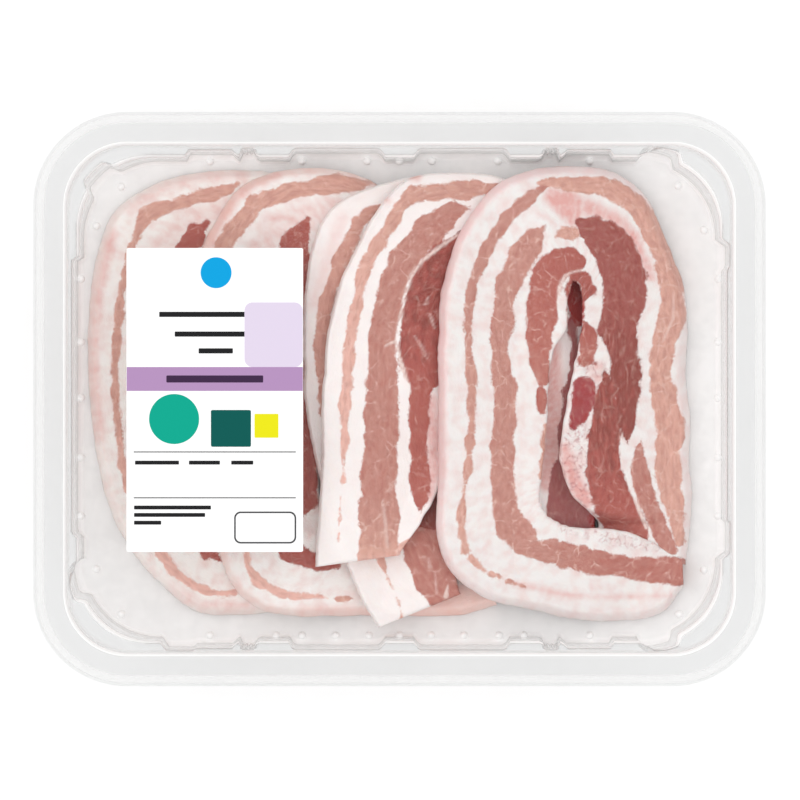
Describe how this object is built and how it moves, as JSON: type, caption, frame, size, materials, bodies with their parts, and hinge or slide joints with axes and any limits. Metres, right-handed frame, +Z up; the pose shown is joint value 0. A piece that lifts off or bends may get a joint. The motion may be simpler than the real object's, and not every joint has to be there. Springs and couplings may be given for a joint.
{
  "type": "pack of pork belly slices",
  "caption": "Clear sealed tray of raw pork belly slices laid shingled in bends, with a film lid and a white price label.",
  "frame": {"origin": "middle of the flat underside of the tray", "axes": "+Z up through the film, +X along the long side of the tray, +Y along its short side"},
  "size_m": [0.227, 0.178, 0.0353],
  "materials": {
    "clear_tray": "clear formed sheet",
    "clear_film": "clear stretched film",
    "label_paper": "coated white paper with printed fields of colour",
    "pork": "moist raw pork belly, white fat with pink and red lean bands"
  },
  "bodies": {
    "root": {"tray": "clear_tray", "film": "clear_film", "label": "label_paper", "slice_1": "pork", "slice_2": "pork", "slice_3": "pork", "slice_4": "pork", "slice_5": "pork"}
  },
  "joints": []
}
